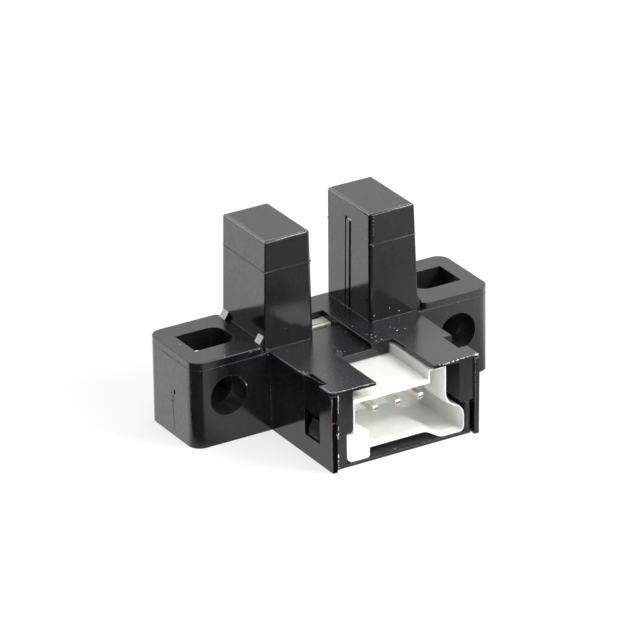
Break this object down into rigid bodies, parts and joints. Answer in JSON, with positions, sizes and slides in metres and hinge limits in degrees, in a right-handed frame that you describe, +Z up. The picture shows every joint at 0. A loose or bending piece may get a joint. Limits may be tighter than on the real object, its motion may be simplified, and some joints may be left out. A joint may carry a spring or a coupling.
{
  "type": "slotted optical switch",
  "caption": "Slotted optical switch: black moulded body with two arms beside a slot, side mounting ears and a white side-entry connector.",
  "frame": {"origin": "middle of the footprint, on the bottom face", "axes": "+X from the left arm to the right arm, across the slot; -Y is the connector's side; +Z up along the arms"},
  "size_m": [0.0264, 0.0158, 0.0155],
  "materials": {
    "housing_plastic": "semi-gloss moulded black plastic",
    "cover_plastic": "black moulded plastic",
    "header_plastic": "natural white nylon",
    "pin_gold": "gold flash on brass",
    "lead_tin": "tinned",
    "solder": "bright solder",
    "board_laminate": "glass-epoxy laminate",
    "emitter_epoxy": "clear bluish epoxy",
    "detector_epoxy": "dark filter epoxy",
    "indicator_body": "clear resin on a chip base",
    "resistor_body": "coated ceramic",
    "capacitor_body": "bare ceramic"
  },
  "bodies": {
    "root": {"housing": "housing_plastic", "bottom_cover": "cover_plastic", "connector_header": "header_plastic", "header_pin_1": "pin_gold", "header_pin_2": "pin_gold", "header_pin_3": "pin_gold", "circuit_board": "board_laminate", "emitter_package": "emitter_epoxy", "emitter_lead_1": "lead_tin", "emitter_lead_2": "lead_tin", "detector_package": "detector_epoxy", "detector_lead_1": "lead_tin", "detector_lead_2": "lead_tin", "detector_lead_3": "lead_tin", "indicator_led": "indicator_body", "emitter_resistor": "resistor_body", "indicator_resistor": "resistor_body", "bypass_capacitor": "capacitor_body", "header_solder_1": "solder", "header_solder_2": "solder", "header_solder_3": "solder", "emitter_solder_1": "solder", "emitter_solder_2": "solder", "detector_solder_1": "solder", "detector_solder_2": "solder", "detector_solder_3": "solder"}
  },
  "joints": []
}
